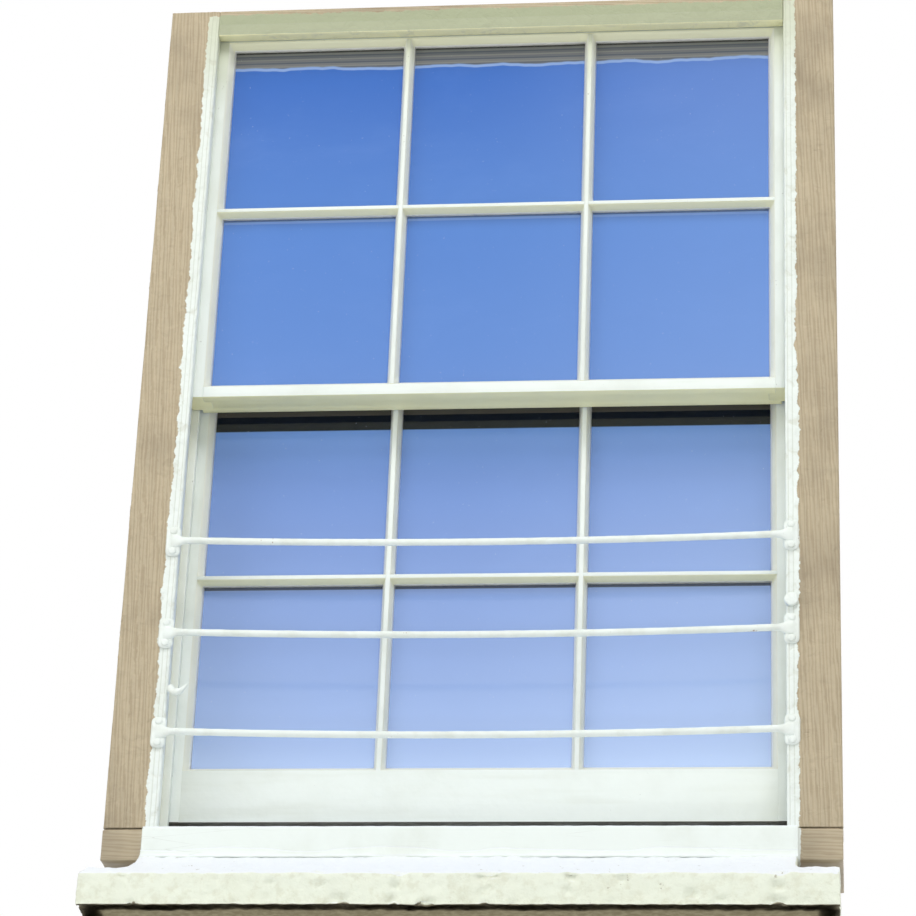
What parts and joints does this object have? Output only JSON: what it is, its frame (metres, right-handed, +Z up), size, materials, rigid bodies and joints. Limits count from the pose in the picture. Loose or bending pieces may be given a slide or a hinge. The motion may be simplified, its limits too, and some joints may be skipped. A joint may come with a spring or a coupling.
{
  "type": "sash window",
  "caption": "Timber sash window with cords, iron weights and pulleys, small panes with glazing bars, outside guard bars, a sloping timber sill and a stone sill.",
  "frame": {"origin": "middle of the stone sill's underside across the width, below the outer face of the outer linings", "axes": "+Z up, +X to the right seen from outside, +Y from the street side into the room"},
  "size_m": [1.024, 0.295, 1.5005],
  "materials": {
    "painted_timber": "old gloss paint, weathered",
    "bare_timber": "aged bare softwood",
    "stone": "painted rough stone",
    "sheet_glass": "clear",
    "linseed_putty": "painted putty",
    "painted_iron": "thick old paint",
    "cast_iron": "raw casting",
    "pulley_iron": "worn casting",
    "cord": "braided cotton",
    "brass": "aged polish"
  },
  "bodies": {
    "frame": {"stone_sill": "stone", "timber_sill": "painted_timber", "head_board": "bare_timber", "pocket_pieces": "painted_timber", "pulley_stile_left": "painted_timber", "pulley_stile_right": "painted_timber", "outer_lining_left": "painted_timber", "outer_lining_right": "painted_timber", "inner_lining_left": "painted_timber", "inner_lining_right": "painted_timber", "back_linings": "bare_timber", "outer_head_lining": "painted_timber", "inner_head_lining": "painted_timber", "parting_bead_left": "painted_timber", "parting_bead_right": "painted_timber", "parting_bead_head": "painted_timber", "staff_bead_left": "painted_timber", "staff_bead_right": "painted_timber", "staff_bead_head": "painted_timber", "staff_bead_sill": "painted_timber", "parting_slips": "bare_timber", "pulley_cases": "pulley_iron", "guard_bar_top": "painted_iron", "guard_bar_middle": "painted_iron", "guard_bar_bottom": "painted_iron", "lining_cap": "painted_iron", "lining_peg": "painted_iron", "upper_cord_left": "cord", "upper_cord_right": "cord", "lower_cord_left": "cord", "lower_cord_right": "cord"},
    "upper_sash": {"upper_sash_stile_left": "painted_timber", "upper_sash_stile_right": "painted_timber", "upper_sash_top_rail": "painted_timber", "upper_sash_meeting_rail": "painted_timber", "upper_sash_upright_bars": "painted_timber", "upper_sash_cross_bars": "painted_timber", "upper_sash_panes": "sheet_glass", "upper_sash_putty": "linseed_putty", "fastener_keeper": "brass"},
    "lower_sash": {"lower_sash_stile_left": "painted_timber", "lower_sash_stile_right": "painted_timber", "lower_sash_bottom_rail": "painted_timber", "lower_sash_meeting_rail": "painted_timber", "lower_sash_upright_bars": "painted_timber", "lower_sash_cross_bars": "painted_timber", "lower_sash_panes": "sheet_glass", "lower_sash_putty": "linseed_putty", "fastener_base": "brass", "sash_lifts": "brass"},
    "fastener_arm": {"fastener_arm": "brass"},
    "upper_weight_left": {"upper_weight_left": "cast_iron"},
    "upper_wheel_left": {"upper_pulley_wheel_left": "pulley_iron"},
    "upper_weight_right": {"upper_weight_right": "cast_iron"},
    "upper_wheel_right": {"upper_pulley_wheel_right": "pulley_iron"},
    "lower_weight_left": {"lower_weight_left": "cast_iron"},
    "lower_wheel_left": {"lower_pulley_wheel_left": "pulley_iron"},
    "lower_weight_right": {"lower_weight_right": "cast_iron"},
    "lower_wheel_right": {"lower_pulley_wheel_right": "pulley_iron"}
  },
  "joints": [
    {"name": "upper_sash_slide", "type": "slide", "parent": "frame", "child": "upper_sash", "axis": [0, 0, -1], "range_m": [0, 0.55], "deforming": ["upper_cord_left", "upper_cord_right"]},
    {"name": "lower_sash_slide", "type": "slide", "parent": "frame", "child": "lower_sash", "axis": [0, 0, 1], "range_m": [-0.022, 0.53], "deforming": ["lower_cord_left", "lower_cord_right"]},
    {"name": "upper_weight_left_slide", "type": "slide", "parent": "frame", "child": "upper_weight_left", "axis": [0, 0, 1], "range_m": [0, 0.55], "deforming": ["upper_cord_left"]},
    {"name": "upper_wheel_left_spin", "type": "hinge", "parent": "frame", "child": "upper_wheel_left", "pos_m": [-0.464, 0.0425, 1.40355], "axis": [0, 1, 0], "continuous": true},
    {"name": "upper_weight_right_slide", "type": "slide", "parent": "frame", "child": "upper_weight_right", "axis": [0, 0, 1], "range_m": [0, 0.55], "deforming": ["upper_cord_right"]},
    {"name": "upper_wheel_right_spin", "type": "hinge", "parent": "frame", "child": "upper_wheel_right", "pos_m": [0.464, 0.0425, 1.40355], "axis": [0, 1, 0], "continuous": true},
    {"name": "lower_weight_left_slide", "type": "slide", "parent": "frame", "child": "lower_weight_left", "axis": [0, 0, -1], "range_m": [-0.022, 0.53], "deforming": ["lower_cord_left"]},
    {"name": "lower_wheel_left_spin", "type": "hinge", "parent": "frame", "child": "lower_wheel_left", "pos_m": [-0.464, 0.0995, 1.40355], "axis": [0, 1, 0], "continuous": true},
    {"name": "lower_weight_right_slide", "type": "slide", "parent": "frame", "child": "lower_weight_right", "axis": [0, 0, -1], "range_m": [-0.022, 0.53], "deforming": ["lower_cord_right"]},
    {"name": "lower_wheel_right_spin", "type": "hinge", "parent": "frame", "child": "lower_wheel_right", "pos_m": [0.464, 0.0995, 1.40355], "axis": [0, 1, 0], "continuous": true},
    {"name": "fastener_turn", "type": "hinge", "parent": "lower_sash", "child": "fastener_arm", "pos_m": [0, 0.0995, 0.88814], "axis": [0, 0, 1], "range_deg": [0, 90]}
  ],
  "couplings": [
    {"joint": "upper_weight_left_slide", "follows": "upper_sash_slide", "ratio": 1},
    {"joint": "upper_wheel_left_spin", "follows": "upper_sash_slide", "rad_per_m": 45.455},
    {"joint": "upper_weight_right_slide", "follows": "upper_sash_slide", "ratio": 1},
    {"joint": "upper_wheel_right_spin", "follows": "upper_sash_slide", "rad_per_m": -45.455},
    {"joint": "lower_weight_left_slide", "follows": "lower_sash_slide", "ratio": 1},
    {"joint": "lower_wheel_left_spin", "follows": "lower_sash_slide", "rad_per_m": -45.455},
    {"joint": "lower_weight_right_slide", "follows": "lower_sash_slide", "ratio": 1},
    {"joint": "lower_wheel_right_spin", "follows": "lower_sash_slide", "rad_per_m": 45.455}
  ]
}
